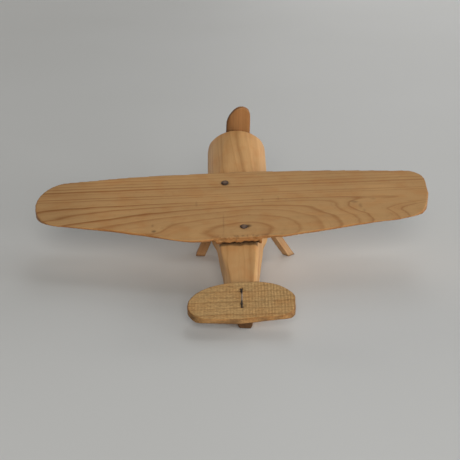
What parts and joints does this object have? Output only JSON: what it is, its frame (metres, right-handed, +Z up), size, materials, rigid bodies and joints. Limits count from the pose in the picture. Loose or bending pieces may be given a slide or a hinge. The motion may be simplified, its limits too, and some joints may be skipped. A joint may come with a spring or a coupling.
{
  "type": "whittled wooden toy aeroplane",
  "caption": "Hand-whittled softwood toy aeroplane with a nailed wing, a stapled tailplane, splayed stick legs and a propeller that spins on its nail.",
  "frame": {"origin": "centre of the standing aeroplane's box, on the floor under it", "axes": "+X to starboard, along the wing; +Y forward, towards the propeller; +Z up from the floor"},
  "size_m": [0.2006, 0.1771, 0.0672],
  "materials": {
    "pine_block": "bare knife-cut softwood, grain along the block, satin from handling",
    "pine_board": "bare flat-sawn softwood board, satin from handling",
    "sawn_board": "rough-sawn softwood board, matt",
    "handled_pine": "bare softwood darkened by handling, satin",
    "stick": "bare split softwood, matt",
    "old_steel": "dark oxidised wire nail, worn brighter on the head",
    "staple_wire": "dull tarnished wire"
  },
  "bodies": {
    "airframe": {"fuselage": "pine_block", "wing": "pine_board", "tailplane": "sawn_board", "leg_left": "stick", "leg_right": "stick", "wing_nail_front": "old_steel", "wing_nail_rear": "old_steel", "tail_staple": "staple_wire", "propeller_nail": "old_steel", "leg_left_nail": "old_steel", "leg_right_nail": "old_steel"},
    "propeller": {"propeller": "handled_pine"}
  },
  "joints": [
    {"name": "propeller_spin", "type": "hinge", "parent": "airframe", "child": "propeller", "pos_m": [0.00434, 0.07825, 0.03872], "axis": [0, 0.9613, 0.2756], "continuous": true}
  ]
}
